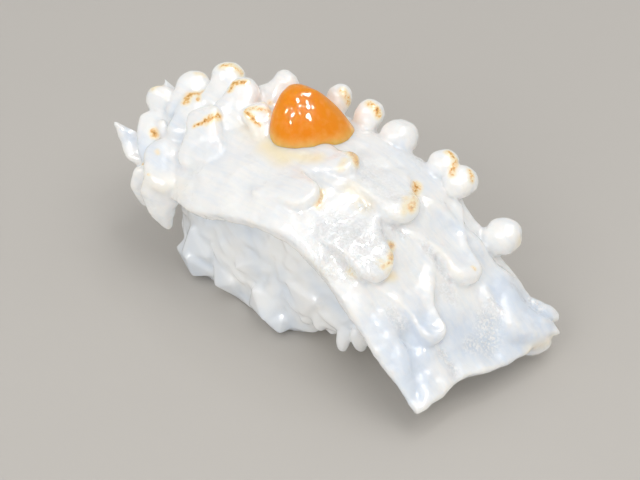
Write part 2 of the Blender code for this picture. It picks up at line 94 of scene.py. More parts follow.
# Narrow folds in its upper face: both ends in plan, the half width, and the height (a furrow is negative)
FOLDS = [
    ((19.5, -7.6), (26.5, -12.9), 1.2, -1.4),
    ((20.5, -9.4), (27.5, -13.9), 1.3, 0.8),
    ((24.3, -5.0), (30.0, -5.2), 0.9, -0.9),
    ((13.6, -9.7), (21.6, -8.2), 1.0, -0.9),
    ((12.0, 4.0), (18.6, 3.6), 0.9, -0.8),
    ((23.0, 1.0), (30.5, 2.6), 1.8, -0.6),
    ((22.4, 7.9), (28.4, 8.4), 1.2, 1.1),
    ((28.0, 8.5), (32.0, 14.4), 1.1, 1.0),
    ((9.0, 8.6), (17.5, 12.2), 1.0, 0.8),
    ((17.5, 12.2), (23.5, 12.8), 0.9, 0.6),
    ((10.5, 12.6), (22.0, 14.6), 1.4, -0.7),
    ((-12.5, -8.9), (-6.0, -12.4), 1.3, -0.35),
    ((-22.0, -9.5), (-14.0, -8.2), 1.4, 0.4),
    ((-8.0, -9.6), (4.0, -12.6), 1.5, 0.35),
    ((2.0, -9.0), (9.5, -11.2), 1.2, -0.4),
    ((12.0, -9.8), (18.5, -13.4), 1.3, -0.3),
]
FOLD_FADE, FOLD_FULL, FOLD_SHARPNESS = 0.2, 0.15, 1.5

# Tongues that lie along the sheet: the middle of the root and of the round tip in plan, how far the tip
# stands clear of the sheet, and its form as lobe() takes it
TONGUES = {
    "near_tongue": dict(root=(13.0, -2.4), tip=(23.0, -5.2), lift=1.0, half_width=2.5, half_thick=1.2,
                        root_width=2.9, dish=0.6, swell=0.4),
    "near_back_tongue": dict(root=(10.6, 8.0), tip=(20.3, 6.3), lift=1.1, half_width=2.8, half_thick=1.25,
                             root_width=2.7, dish=0.7, swell=0.2),
    "front_tongue": dict(root=(3.4, -5.0), tip=(12.2, -7.1), lift=1.0, half_width=3.6, half_thick=1.2,
                         root_width=1.8, dish=0.25, swell=0.2),
    "middle_tongue": dict(root=(0.6, 6.0), tip=(8.8, 2.9), lift=1.0, half_width=3.7, half_thick=1.2,
                          root_width=1.7, dish=0.2, swell=0.2),
    "sauce_side_tongue": dict(root=(-9.0, 0.6), tip=(-1.9, 2.2), lift=0.3, half_width=2.7, half_thick=1.2,
                              root_width=1.8),
    "far_front_tongue": dict(root=(-11.0, -5.8), tip=(-2.8, -7.3), lift=0.2, half_width=3.2, half_thick=1.1,
                             root_width=1.8),
    "crest_low": dict(root=(-23.4, -9.2), tip=(-27.4, -4.2), lift=1.2, half_width=3.2, half_thick=1.5,
                      root_width=1.7, tip_round=0.35),
    "crest_by_sauce": dict(root=(-15.5, 0.8), tip=(-20.6, 2.0), lift=0.9, half_width=2.3, half_thick=1.2,
                           root_width=1.5, tip_round=0.4),
}
TONGUE_SQUARENESS, TONGUE_ROOT_DEPTH = 0.5, 1.5

# Knobs, scales and petals that stand out from the sheet: the middle of the root in plan, the middle of the
# tip, the plan angle in degrees that the width runs along, and the form as lobe() takes it
KNOBS = {
    "knob_near": dict(root=(18.2, 14.2), tip=(20.5, 17.0, 17.4), half_width=3.0, half_thick=2.9, turn=0),
    "knob_pair_near": dict(root=(10.2, 13.6), tip=(11.8, 16.1, 25.0), half_width=2.5, half_thick=2.4, turn=0),
    "knob_pair_far": dict(root=(6.3, 13.8), tip=(8.0, 16.5, 26.2), half_width=2.4, half_thick=2.3, turn=0),
    "knob_plain": dict(root=(-2.7, 13.0), tip=(-1.4, 16.0, 27.2), half_width=3.2, half_thick=2.8, turn=20),
    "knob_toasted": dict(root=(-8.8, 13.2), tip=(-7.8, 15.8, 29.2), half_width=2.5, half_thick=2.3, turn=20),
    "knob_behind_sauce": dict(root=(-15.5, 14.4), tip=(-15.3, 16.6, 28.8), half_width=2.1, half_thick=2.0,
                              turn=20),
    "finger_by_sauce": dict(root=(-25.5, 6.0), tip=(-22.7, 11.0, 30.4), half_width=2.4, half_thick=2.3,
                            turn=0, root_width=1.5, tip_round=0.7),
    "crest_top_front": dict(root=(-24.5, -2.5), tip=(-26.5, 4.4, 30.2), half_width=2.9, half_thick=2.2,
                            root_width=1.7),
    "crest_top_back": dict(root=(-29.5, 1.0), tip=(-32.4, 7.0, 29.2), half_width=3.0, half_thick=2.2,
                           root_width=1.6, tip_round=0.8),
    "far_round_back": dict(root=(-33.5, -2.5), tip=(-37.2, 3.3, 27.0), half_width=3.1, half_thick=2.2,
                           turn=45, root_width=1.5),
    "far_round_front": dict(root=(-30.5, -5.5), tip=(-34.2, 0.2, 26.5), half_width=2.6, half_thick=1.6,
                            root_width=1.6),
    "far_bud": dict(root=(-36.5, -0.5), tip=(-41.3, -1.5, 25.7), half_width=2.1, half_thick=2.8, turn=-48,
                    pointed=0.2),
    "bud_tip": dict(root=(-37.5, 0.8), tip=(-41.5, 1.0, 27.3), half_width=1.1, half_thick=0.7, pointed=0.7),
    "end_petal": dict(root=(-33.5, -10.3), tip=(-38.4, -5.1, 22.5), half_width=3.2, half_thick=1.4,
                      root_width=0.9, tip_round=0.45),
    "petal_ridge": dict(root=(-32.5, -7.5), tip=(-37.0, -4.8, 23.7), half_width=1.0, half_thick=1.2),
    "ear_petal": dict(root=(-38.5, -9.0), tip=(-44.0, -7.9, 20.9), half_width=2.3, half_thick=0.8,
                      pointed=0.8),
    "round_low_lobe": dict(root=(-33.9, -5.4), tip=(-29.9, -11.2, 20.3), half_width=3.6, half_thick=2.0,
                           root_width=1.1),
    "side_flap": dict(root=(-33.5, -10.5), tip=(-34.8, -11.2, 12.8), half_width=2.0, half_thick=1.3,
                      root_width=1.6, tip_round=0.5),
    "hanging_tip": dict(root=(-28.0, -11.2), tip=(-29.4, -12.6, 12.9), half_width=3.4, half_thick=1.3,
                        turn=30, root_width=1.1, pointed=0.7),
    "hidden_petal": dict(root=(-36.0, 5.5), tip=(-40.4, 8.0, 18.5), half_width=4.0, half_thick=1.6, turn=110,
                         pointed=0.2),
    "corner_roll": dict(root=(27.8, 6.6), tip=(31.8, 12.4, 3.4), half_width=1.7, half_thick=2.9, turn=-48),
    "corner_nub": dict(root=(28.0, 14.0), tip=(31.6, 17.0, 6.4), half_width=1.1, half_thick=1.1),
}
KNOB_SQUARENESS, KNOB_ROOT_DEPTH = 0.82, 1.2
LOBE_SEGMENTS, LOBE_RINGS = 32, 26
RISE_SHARE = 0.62
TAPER_SHARE, POINT_FROM_SHARE = 0.7, 0.35
SWELL_AT, SWELL_REACH, DISH_SPAN = 0.55, 0.5, (0.55, 1.25)
STEP_SHARE, STEP, NO_WIDTH = 0.02, 0.2, 1e-6

# How the squid's mesh is smoothed, and its wrinkles, as (size, height)
SQUID_SMOOTHING = 3
WRINKLES = [(4.5, 0.36), (1.7, 0.15), (0.8, 0.04)]
BULGE_SPREAD = 3

# The rice: a squarish ball, cut flat at its foot, tucked in and bowed up under its near end. The bow runs
# between two values of x - BOW_SKEW * y, so it starts further along on the +Y side
RICE_MID = Vector((-8.0, -0.4, 11.0))
RICE_HALF = Vector((24.0, 11.1, 15.2))
RICE_SQUARENESS = 3.4
TUCK, TUCK_FROM_X, TUCK_FULL_X = 0.8, -6.0, 14.0
BOW, BOW_SKEW, BOW_FROM, BOW_FULL = 5.0, 0.75, 4.0, 12.0
CORE_SEGMENTS, CORE_RINGS = 180, 110

# Where its grains go: layers, as the depth below the block's side, the pitch of the rows and the spacing
GRAIN_LAYERS = [(1.0, 2.5, 4.2), (1.05, 2.4, 3.8)]
CLUMP_SIZE, CREASE_DEPTH, CREASE_SHARE, CREASE_SHARPNESS = 6.0, 0.7, 0.5, 1.5
BOTTOM_SPACING, FOOT_INSET, CELL_EDGE = 3.3, 4.4, 0.1
FULL_TURN, TOP_SHARE = 360, 0.98
BESIDE_TURN, BESIDE_RISE = 0.04, 0.5
GRAIN_TURN = math.radians(75)
GRAIN_TILT = math.radians(8)
GRAIN_SEGMENTS, GRAIN_RINGS = 12, 12
RICE_SEED = 8

# A grain's form: how square its ends are, how much one end may be blunter, how far it may bend, its
# flatness, and the range of its size
GRAIN_FULLNESS, GRAIN_END = 0.17, 0.001
GRAIN_BLUNT, GRAIN_BOW, GRAIN_FLATNESS = 0.18, 0.25, 0.9
SMALL_GRAIN, LARGE_GRAIN = 0.88, 1.06

# How far a draw shifts a grain along its row, up and inwards, and how far it may be pushed under the sheet
SHIFT_ALONG, SHIFT_UP, SHIFT_IN = 0.25, 0.5, 0.15
FLOOR_GAP, LEAST_GAP, SHEET_GAP, MOST_SHIFT = 0.05, 0.02, 0.1, 3.0
CORE_DEPTH, CORE_GAP, RICE_SMOOTHING = 0.1, 0.25, 4

# Lumps pressed into its sides, as the middle and the radius, and the middles of the grains that hang from
# its near end
RICE_LUMPS = [
    ((-22.8, -7.4, 8.2), 6.2), ((-24.2, -7.6, 4.4), 6.0), ((-17.3, -7.8, 4.2), 5.4),
    ((-7.0, -8.4, 4.6), 6.2), ((-4.4, -10.0, 2.4), 3.4), ((1.6, -6.8, 10.4), 6.6),
    ((-11.5, -6.8, 11.0), 6.3), ((9.2, -5.4, 12.4), 5.2), ((-21.0, 6.6, 6.2), 5.9),
    ((-10.5, 6.8, 6.6), 5.9), ((0.4, 6.4, 9.6), 5.9), ((-28.0, -0.4, 7.6), 5.4),
    ((9.4, 5.2, 12.0), 5.0), ((12.0, 0.0, 11.6), 5.0),
]
LUMP_FLATTENING, LUMP_GAP, LUMP_LIFT = 0.16, 0.25, 0.1
LUMP_SEED = 3
END_GRAINS = [(0.9, -9.8, 7.4), (3.9, -9.9, 7.5), (8.9, -9.5, 6.1), (11.7, -9.1, 6.9), (14.2, -7.8, 8.2),
              (14.6, -3.4, 8.4), (14.8, 1.4, 8.2), (13.6, 5.6, 8.4), (9.4, 8.6, 7.2), (4.6, 9.2, 6.4)]
END_HANG, END_SPLAY, END_TURN, END_SIZES = 2.4, 2, 0.25, (0.9, 1.0)

# The sauce: a rounded triangle in plan with a high middle that leans, how round its top and sides are, how
# deep its foot and its underside are sunk, and its lumps, as (size, height)
SAUCE_MID = (-12.9, 6.6)
SAUCE_LEAN = (-0.34, -0.05)
SAUCE_CORNERS, SAUCE_CORNER_TURN = 0.08, math.radians(143)
SAUCE_ROUNDNESS, SAUCE_FULLNESS = 2.1, 0.85
SAUCE_FOOT, SAUCE_UNDERSIDE, EQUATOR = 0.45, 0.8, 1e-4
SAUCE_LUMP, SAUCE_DIMPLE, DIMPLE_SHIFT = (3.2, 0.34), (1.3, 0.13), Vector((5, 0, 0))
SAUCE_SEGMENTS, SAUCE_RINGS = 120, 90
FULL_DEPTH = 2.6

# The lamps: the two large ones as (place, size, power, colour), and the small ceiling lamps that only
# glint, as places in plan. Places and sizes are in metres
SOFTBOX = ((0.14, 0.03, 0.42), 0.3, 0.35, (1.0, 0.99, 0.97))
FRONT_FILL = ((0.12, -0.5, 0.3), 0.4, 0.95, (0.98, 0.99, 1.0))
CEILING_LAMPS = [(-0.23, -0.6), (-0.04, -0.44), (0.12, -0.58), (0.25, -0.01), (0.31, -0.14), (0.03, 0.08),
                 (0.0, 0.3)]
CEILING, CEILING_LAMP = 0.62, (0.06, 2.4, (1.0, 0.98, 0.95))
LIT_PLACE = (0, 0, 0.015)
ROOM_COLOUR, ROOM_STRENGTH = (0.98, 0.99, 1.0, 1), 0.73
FLOOR_HALF = 1.5
SENSOR_WIDTH = 36

# The photograph: its size in pixels, its focal length in pixels, and the place that the camera aims by,
# in millimetres and as a pixel
PHOTO_SIZE = (640, 480)
PHOTO_FOCAL = 1800
AIM, AIM_PIXEL = Vector((0, 0, 12)), (342, 257)
SIGHT_STEPS, STROKE_SPREAD = 20, 1.35

# What the torch and the sauce left on the squid, where its flesh is clear, and where its skin sparkles,
# which gets fine bumps and white flecks painted in as glints. Each stroke runs between two pixels of the
# photograph, with its radius in millimetres and its strength, and is carried onto the squid along the
# camera's line of sight.
TORCH_STROKES = [
    ((222, 66), (232, 65), 1.0, 0.75),
    ((232, 65), (241, 73), 1.0, 0.7),
    ((230, 90), (234, 83), 0.8, 1.0),
    ((234, 83), (246, 82), 0.8, 1.0),
    ((196, 73), (204, 75), 0.7, 0.5),
    ((186, 101), (189, 95), 1.1, 1.0),
    ((189, 95), (202, 92), 0.8, 1.0),
    ((199, 95), (198, 100), 0.6, 0.8),
    ((153, 88), (160, 84), 0.9, 0.65),
    ((154, 132), (155, 135), 0.95, 1.15),
    ((157, 151), (158, 153), 0.6, 0.5),
    ((194, 126), (206, 121), 0.55, 0.95),
    ((206, 121), (219, 116), 1.0, 1.1),
    ((246, 111), (252, 118), 0.8, 1.0),
    ((252, 118), (259, 125), 0.6, 0.95),
    ((247, 109), (262, 109), 0.7, 0.8),
    ((264, 102), (270, 103), 0.7, 0.6),
    ((267, 111), (276, 113), 0.9, 0.7),
    ((270, 116), (274, 121), 0.7, 0.6),
    ((132, 163), (143, 164), 0.4, 0.85),
    ((148, 174), (149, 175), 0.3, 0.7),
    ((343, 91), (349, 103), 1.0, 0.85),
    ((369, 103), (376, 108), 1.0, 0.75),
    ((376, 108), (379, 115), 0.95, 1.0),
    ((448, 152), (455, 159), 0.85, 0.9),
    ((456, 160), (452, 174), 0.9, 0.9),
    ((470, 171), (472, 180), 0.8, 0.75),
    ((352, 152), (357, 162), 1.15, 1.1),
    ((345, 160), (341, 167), 1.0, 0.45),
    ((417, 186), (411, 208), 1.15, 1.0),
    ((406, 198), (404, 212), 0.9, 0.55),
    ((391, 245), (391, 258), 0.95, 1.0),
    ((383, 267), (391, 262), 0.7, 0.8),
    ((381, 262), (389, 270), 1.2, 0.4),
    ((322, 192), (318, 206), 1.0, 0.6),
    ((473, 267), (475, 269), 0.45, 0.65),
]
# Where the skin sparkles: fine bumps, and white flecks painted in as glints
SPARKLE_STROKES = [
    ((335, 236), (372, 240), 4.6, 1.0),
    ((330, 262), (368, 262), 3.6, 0.8),
    ((300, 282), (332, 316), 1.2, 1.0),
    ((487, 318), (487, 342), 2.6, 1.0),
    ((470, 345), (492, 345), 1.8, 0.8),
    ((441, 351), (455, 372), 0.7, 1.2),
    ((425, 245), (450, 282), 0.9, 1.0),
    ((361, 206), (405, 236), 0.8, 0.9),
    ((446, 288), (452, 298), 1.6, 0.7),
    ((391, 312), (402, 326), 1.2, 0.9),
    ((490, 298), (500, 312), 0.8, 1.0),
    ((532, 300), (540, 308), 0.9, 0.9),
    ((360, 165), (400, 200), 4.0, 0.35),
    ((208, 226), (212, 240), 0.8, 0.4),
]
CLEAR_STROKES = [
    ((420, 330), (410, 385), 4.5, 1.0),
    ((460, 340), (520, 345), 6.0, 0.75),
    ((505, 290), (540, 315), 4.5, 1.0),
    ((380, 330), (395, 360), 4.0, 0.6),
    ((440, 220), (485, 255), 2.6, 0.35),
    ((470, 250), (462, 262), 2.2, 0.3),
    ((415, 300), (425, 322), 2.2, 0.35),
    ((395, 150), (430, 180), 3.0, 0.35),
    ((128, 130), (140, 150), 2.4, 0.9),
    ((150, 145), (162, 165), 2.2, 0.6),
    ((172, 110), (178, 135), 2.2, 0.5),
    ((200, 140), (215, 155), 3.0, 0.25),
]
CREAM_STROKES = [
    ((268, 146), (284, 157), 2.6, 0.9),
    ((284, 154), (318, 158), 1.7, 0.8),
    ((248, 128), (262, 140), 2.6, 0.35),
    ((352, 272), (392, 276), 1.2, 0.8),
    ((530, 350), (552, 338), 1.6, 0.4),
    ((145, 180), (180, 190), 2.4, 0.2),
    ((350, 190), (365, 205), 2.2, 0.45),
    ((520, 240), (516, 250), 1.2, 0.5),
    ((255, 230), (330, 275), 1.5, 0.15),
]
STROKES = {"toast": TORCH_STROKES, "sparkle": SPARKLE_STROKES, "clear": CLEAR_STROKES, "cream": CREAM_STROKES}


def linear(hex_colour):
    """An sRGB hex colour as linear red, green and blue."""
    parts = [int(hex_colour[i : i + 2], 16) / 255 for i in (1, 3, 5)]
    return tuple(part / 12.92 if part <= 0.04045 else ((part + 0.055) / 1.055) ** 2.4 for part in parts)


def colour(name, description, hex_colour):
    """A colour that a user can change."""
    return FloatVectorProperty(
        name=name, description=description, default=linear(hex_colour), subtype="COLOR", min=0, max=1
    )


def length(name, description, metres):
    """A length that a user can change."""
    return FloatProperty(
        name=name, description=description, default=metres, unit="LENGTH", min=0, precision=5
    )


class SquidSettings(bpy.types.PropertyGroup):
    """The torched sheet of squid."""

    thickness: length("Thickness", "Thickness of the sheet over the rice", 0.0036)
    near_thickness: length("Near thickness", "Thickness of the sheet at its free near end", 0.0019)
    fineness: length("Fineness", "Size of the mesh's cells", 0.00033)
    flesh: colour("Flesh", "Cooked white flesh", "#F5F3EF")
    # The clear colour is also painted as shade into the sheet's hollows
    clear: colour("Clear flesh", "Thin, nearly raw flesh", "#DCE3EC")
    cream: colour("Cream", "Rims and where sauce seeped in", "#FBE9C6")
    haze: colour("Haze", "The torch marks' pale surrounds", "#F9E8C8")
    toast: colour("Toast", "Golden torch marks", "#E6B463")
    char: colour("Char", "The torch marks' dark middles", "#A3682B")


class RiceSettings(bpy.types.PropertyGroup):
    """The pressed block of rice."""

    grain_length: length("Grain length", "Length of a cooked grain", 0.0062)
    grain_width: length("Grain width", "Width of a cooked grain", 0.0027)
    fineness: length("Fineness", "Size of the mesh's cells", 0.00031)
    seed: IntProperty(name="Seed", description="Draw of the grains' places", default=RICE_SEED)
    starch: colour("Starch", "The grains where they are dense", "#F3F3F1")
    clear: colour("Clear starch", "The grains where they are clear", "#DDE5EF")


class SauceSettings(bpy.types.PropertyGroup):
    """The dab of sea urchin sauce."""

    radius: length("Radius", "Mean radius of the dab in plan", 0.00705)
    height: length("Height", "Height of the dab", 0.0071)
    middle: colour("Middle", "Where the dab is thick", "#EE9010")
    edge: colour("Edge", "Where the dab runs thin", "#FFBC6E")


class StageSettings(bpy.types.PropertyGroup):
    """The camera, the lights and the floor."""

    azimuth: FloatProperty(
        name="Azimuth", description="Where the camera stands round the object", default=math.radians(42),
        subtype="ANGLE", unit="ROTATION",
    )
    elevation: FloatProperty(
        name="Elevation", description="The camera's angle above the floor", default=math.radians(40),
        subtype="ANGLE", unit="ROTATION",
    )
    distance: length("Distance", "From the camera to the place it aims by", 0.3)
    floor: colour("Floor", "The floor's colour", "#B9B4AD")


def smooth_step(low, high, value):
    """0 below low, 1 above high, smooth between."""
    t = min(max((value - low) / (high - low), 0.0), 1.0)
    return t * t * (3 - 2 * t)


def along(points, x):
    """The height at x of a smooth curve through (x, z) points: a cubic through each pair of points."""
    last = len(points) - 1
    i = 0
    while i < last - 1 and x > points[i + 1][0]:
        i += 1

    def slope(k):
        before, after = points[max(k - 1, 0)], points[min(k + 1, last)]
        return (after[1] - before[1]) / (after[0] - before[0])

    (x0, z0), (x1, z1) = points[i], points[i + 1]
    run = x1 - x0
    t = (x - x0) / run
    return ((2 * t**3 - 3 * t**2 + 1) * z0 + (t**3 - 2 * t**2 + t) * run * slope(i)
            + (3 * t**2 - 2 * t**3) * z1 + (t**3 - t**2) * run * slope(i + 1))


def underside(x, y):
    """The height of the sheet's underside: a parabola across through its three long curves, and creases."""
    left, crown, right = along(LEFT_LINE, x), along(CROWN_LINE, x), along(RIGHT_LINE, x)
    to_left, to_crown, to_right = y - LEFT_Y, y - CROWN_Y, y - RIGHT_Y
    sheet = (left * to_crown * to_right / ((LEFT_Y - CROWN_Y) * (LEFT_Y - RIGHT_Y))
             + crown * to_left * to_right / ((CROWN_Y - LEFT_Y) * (CROWN_Y - RIGHT_Y))
             + right * to_left * to_crown / ((RIGHT_Y - LEFT_Y) * (RIGHT_Y - CROWN_Y)))
    creases = sum(height * math.exp(-(((y - mid) / half) ** 2)) for mid, half, height in NEAR_CREASES)
    mid, half, drop = CORNER
    corner = drop * math.exp(-(((y - mid) / half) ** 2)) * smooth_step(CORNER_FROM_X, CORNER_FULL_X, x)
    return sheet + creases * smooth_step(CREASES_FROM_X, CREASES_FULL_X, x) - corner


def up_from_slab(x, y):
    """The direction straight out of the sheet's upper face."""
    along_x = (underside(x + STEP, y) - underside(x - STEP, y)) / (2 * STEP)
    along_y = (underside(x, y + STEP) - underside(x, y - STEP)) / (2 * STEP)
    return Vector((-along_x, -along_y, 1)).normalized()


def slab_thickness(x, v, squid):
    """Thin at the near end, and rounded off towards both long edges (v is -1 and 1 there)."""
    thick, thin = squid.thickness / MM, squid.near_thickness / MM
    body = thick + (thin - thick) * smooth_step(THIN_FROM_X, NEAR_X, x)
    return body * (1 - EDGE_THINNING * abs(v) ** EDGE_SHARPNESS)


def slab_top(x, y, squid):
    """The upper face above (x, y), near enough for what lies on it."""
    return underside(x, y) + slab_thickness(x, 0, squid) / up_from_slab(x, y).z


def slab_place(u, v):
    """The plan position of a point of the sheet: u is 0 at the far end and 1 at the near end."""
    half = HALF_WIDTH - FAR_NARROWING * smooth_step(FAR_NARROWS_TO, 0, u)
    half += EDGE_WAVE * math.sin(SIDE_WAVES * u + v)
    far = FAR_X + FAR_ROUNDING * abs(v) ** 3 + EDGE_WAVE * math.sin(FAR_WAVES * v)
    near = NEAR_X + NEAR_SKEW * v + EDGE_WAVE * math.sin(NEAR_WAVES * v + 1)
    return far + (near - far) * u, MID_Y + v * half


def folds(x, y):
    """How far the narrow folds lift the upper face at (x, y)."""
    lifted = 0
    for (x0, y0), (x1, y1), half_width, height in FOLDS:
        run_x, run_y = x1 - x0, y1 - y0
        reach = math.hypot(run_x, run_y)
        share = ((x - x0) * run_x + (y - y0) * run_y) / reach**2
        gap = abs((x - x0) * run_y - (y - y0) * run_x) / reach
        if -FOLD_FADE < share < 1 + FOLD_FADE and gap < 2 * half_width:
            ends = smooth_step(-FOLD_FADE, FOLD_FULL, share)
            ends *= smooth_step(1 + FOLD_FADE, 1 - FOLD_FULL, share)
            lifted += height * ends * max(1 - gap / (2 * half_width), 0) ** FOLD_SHARPNESS
    return lifted


def slab(squid):
    """The sheet: a grid laid on the underside, thickened along the way out of it."""
    bm = bmesh.new()
    bmesh.ops.create_grid(bm, x_segments=CELLS_LONG, y_segments=CELLS_WIDE, size=1)
    lower = bm.verts[:]
    raised = bmesh.ops.extrude_face_region(bm, geom=bm.faces[:], use_keep_orig=True)["geom"]
    for vert in [part for part in raised if isinstance(part, bmesh.types.BMVert)]:
        v = vert.co.y
        x, y = slab_place((vert.co.x + 1) / 2, v)
        thick = slab_thickness(x, v, squid) + folds(x, y)
        vert.co = Vector((x, y, underside(x, y))) + up_from_slab(x, y) * thick
    for vert in lower:
        x, y = slab_place((vert.co.x + 1) / 2, vert.co.y)
        vert.co = (x, y, underside(x, y))
    bmesh.ops.recalc_face_normals(bm, faces=bm.faces[:])
    return bm


def cap(distance, radius):
    """The share of full width at a distance from a round end."""
    return math.sqrt(1 - (1 - min(distance / radius, 1)) ** 2)


def lobe(path, length, wide, half_width, half_thick, squareness, root_width=1.0, tip_round=1.0, pointed=0.0,
         dish=0.0, swell=0.0):
    """A round-ended finger along a path, from its buried root to its tip. wide is the way its width runs.
    root_width widens its root, tip_round squares its tip below 1 and pointed narrows it. dish hollows its
    upper face short of the tip, and swell thickens the tip."""
    bm = bmesh.new()
    bmesh.ops.create_uvsphere(bm, u_segments=LOBE_SEGMENTS, v_segments=LOBE_RINGS, radius=1)
    whole = length + half_width
    for vert in bm.verts:
        gone = (vert.co.z + 1) / 2 * whole
        point, ahead = path(gone)
        side = (wide - ahead * wide.dot(ahead)).normalized()
        over = side.cross(ahead)
        ring = math.hypot(vert.co.x, vert.co.y)
        if ring < NO_WIDTH:
            vert.co = point
            continue
        across, up = (math.copysign(abs(part / ring) ** squareness, part) for part in (vert.co.x, vert.co.y))
        share = gone / whole
        taper = root_width + (1 - root_width) * smooth_step(0, TAPER_SHARE, share)
        width = half_width * taper * cap(whole - gone, half_width * tip_round) * cap(gone, half_width)
        width *= 1 - pointed * smooth_step(POINT_FROM_SHARE, 1, share)
        to_tip = (whole - gone) / half_width
        thick = half_thick * cap(whole - gone, half_thick) * cap(gone, half_thick)
        thick *= 1 + swell * math.exp(-(((to_tip - SWELL_AT) / SWELL_REACH) ** 2))
        if up > 0:
            up *= 1 - dish * (1 - across**2) * smooth_step(*DISH_SPAN, to_tip)
        vert.co = point + side * across * width + over * up * thick
    bmesh.ops.recalc_face_normals(bm, faces=bm.faces[:])
    return bm


def tongue(squid, root, tip, lift, **form):
    """A tongue that leaves the sheet slowly along it, and stands clear of it by lift at the tip."""
    start, end = Vector(root), Vector(tip)
    length = (end - start).length

    def point_at(share):
        x, y = start + (end - start) * share
        return Vector((x, y, slab_top(x, y, squid) + lift * share - TONGUE_ROOT_DEPTH * (1 - share)))

    def path(gone):
        share = gone / length
        return point_at(share), (point_at(share + STEP_SHARE) - point_at(share - STEP_SHARE)).normalized()

    wide = Vector((*(end - start), 0)).cross(up_from_slab(*tip))
    return lobe(path, length, wide, squareness=TONGUE_SQUARENESS, **form)


def knob(squid, root, tip, turn=40, **form):
    """A knob or petal that leaves the sheet along its face and turns out to its tip."""
    start = Vector((*root, slab_top(*root, squid) - KNOB_ROOT_DEPTH))
    end = Vector(tip)
    out = up_from_slab(*root)
    run = end - start
    middle = start + (run - out * run.dot(out)) * RISE_SHARE + out * KNOB_ROOT_DEPTH * RISE_SHARE

    def path(gone):
        t = min(gone / run.length, 1)
        point = start * (1 - t) ** 2 + middle * 2 * t * (1 - t) + end * t**2
        ahead = ((middle - start) * (1 - t) + (end - middle) * t).normalized()
        return point + ahead * max(gone - run.length, 0), ahead

    wide = Vector((math.cos(math.radians(turn)), math.sin(math.radians(turn)), 0))
    return lobe(path, run.length, wide, squareness=KNOB_SQUARENESS, **form)


def joined(shapes):
    """One mesh, in metres, that holds every shape."""
    whole = bmesh.new()
    for shape in shapes:
        part = bpy.data.meshes.new("part")
        shape.to_mesh(part)
        shape.free()
        whole.from_mesh(part)
        bpy.data.meshes.remove(part)
    whole.transform(Matrix.Scale(MM, 4))
    mesh = bpy.data.meshes.new("joined")
    whole.to_mesh(mesh)
    whole.free()
    return mesh


def melted(mesh, cell, rounds):
    """The mesh's shells run together into one skin of even cells, and smoothed."""
    holder = bpy.data.objects.new("holder", mesh)
    bpy.context.scene.collection.objects.link(holder)
    remesh = holder.modifiers.new("remesh", "REMESH")
    remesh.mode = "VOXEL"
    remesh.voxel_size = cell
    skin = bpy.data.meshes.new_from_object(holder.evaluated_get(bpy.context.evaluated_depsgraph_get()))
    bpy.data.objects.remove(holder)
    bpy.data.meshes.remove(mesh)
    bm = bmesh.new()
    bm.from_mesh(skin)
    bpy.data.meshes.remove(skin)
    axes = dict(use_axis_x=True, use_axis_y=True, use_axis_z=True)
    for _ in range(rounds):
        bmesh.ops.smooth_vert(bm, verts=bm.verts, factor=0.5, **axes)
    return bm


def finish_piece(name, bm, material, *nodes):
    """The mesh as a smooth object that rides on the body and stands for CAD nodes."""
    mesh = bpy.data.meshes.new(name)
    bm.to_mesh(mesh)
    bm.free()
    mesh.shade_smooth()
    mesh.materials.append(material)
    piece = bpy.data.objects.new(name, mesh)
    bpy.context.scene.collection.objects.link(piece)
    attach(piece, "root")
    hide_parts(*nodes)
    return piece


def camera_frame(stage):
    """The camera's place in metres and the ways right, up and back from it."""
    sin_turn, cos_turn = math.sin(stage.azimuth), math.cos(stage.azimuth)
    sin_rise, cos_rise = math.sin(stage.elevation), math.cos(stage.elevation)
    right = Vector((cos_turn, sin_turn, 0))
    up = Vector((-sin_rise * sin_turn, sin_rise * cos_turn, cos_rise))
    back = Vector((cos_rise * sin_turn, -cos_rise * cos_turn, sin_rise))
    aside, down = (pixel - size / 2 for pixel, size in zip(AIM_PIXEL, PHOTO_SIZE))
    slide = (up * down - right * aside) * stage.distance / PHOTO_FOCAL
    return AIM * MM + back * stage.distance + slide, right, up, back


def sighted(tree, stage, pixel):
    """The place in metres where the line of sight through a pixel meets the mesh, or passes it closest."""
    eye, right, up, back = camera_frame(stage)
    aside, down = (part - size / 2 for part, size in zip(pixel, PHOTO_SIZE))
    sight = (right * aside - up * down - back * PHOTO_FOCAL).normalized()
    place = tree.ray_cast(eye, sight)[0]
    if place is None:
        reach = stage.distance
        for _ in range(SIGHT_STEPS):
            place = tree.find_nearest(eye + sight * reach)[0]
            reach = (place - eye).dot(sight)
    return place


def stroked(points, tree, stage, strokes):
    """How strongly the strokes mark each point, from 0 to their strength."""
    marked = np.zeros(len(points))
    for first, last, radius, strength in strokes:
        start, end = (np.array(sighted(tree, stage, pixel)) for pixel in (first, last))
        run = end - start
        share = np.clip((points - start) @ run / max(run @ run, 1e-12), 0, 1)
        gap = np.linalg.norm(points - (start + share[:, None] * run), axis=1)
        near = np.clip(1 - gap / (radius * MM) / STROKE_SPREAD, 0, 1)
        marked = np.maximum(marked, near * near * (3 - 2 * near) * strength)
    return marked


def read(mesh, what, rows, kind=np.float32):
    """A mesh's points, normals or edges as an array."""
    source = mesh.edges if what == "vertices" else mesh.vertices
    values = np.empty(len(source) * rows, kind)
    source.foreach_get(what, values)
    return values.reshape(-1, rows)


def bend(mesh, spread):
    """How sharply the skin bulges (above 0) or hollows (below 0) at each point, in 1/mm, averaged over spread
    rounds of neighbours."""
    points, normals = read(mesh, "co", 3) / MM, read(mesh, "normal", 3)
    first, second = read(mesh, "vertices", 2, np.int32).T
    count = np.bincount(first, minlength=len(points)) + np.bincount(second, minlength=len(points))

    def around(values):
        ahead = np.bincount(first, values[second], len(points))
        return (ahead + np.bincount(second, values[first], len(points))) / count

    drawn = np.stack([around(points[:, i]) - points[:, i] for i in range(3)], axis=1)
    size = np.linalg.norm(points[first] - points[second], axis=1).mean()
    found = -(drawn * normals).sum(axis=1) / size**2 * 4
    for _ in range(spread):
        found = (found + around(found)) / 2
    return found


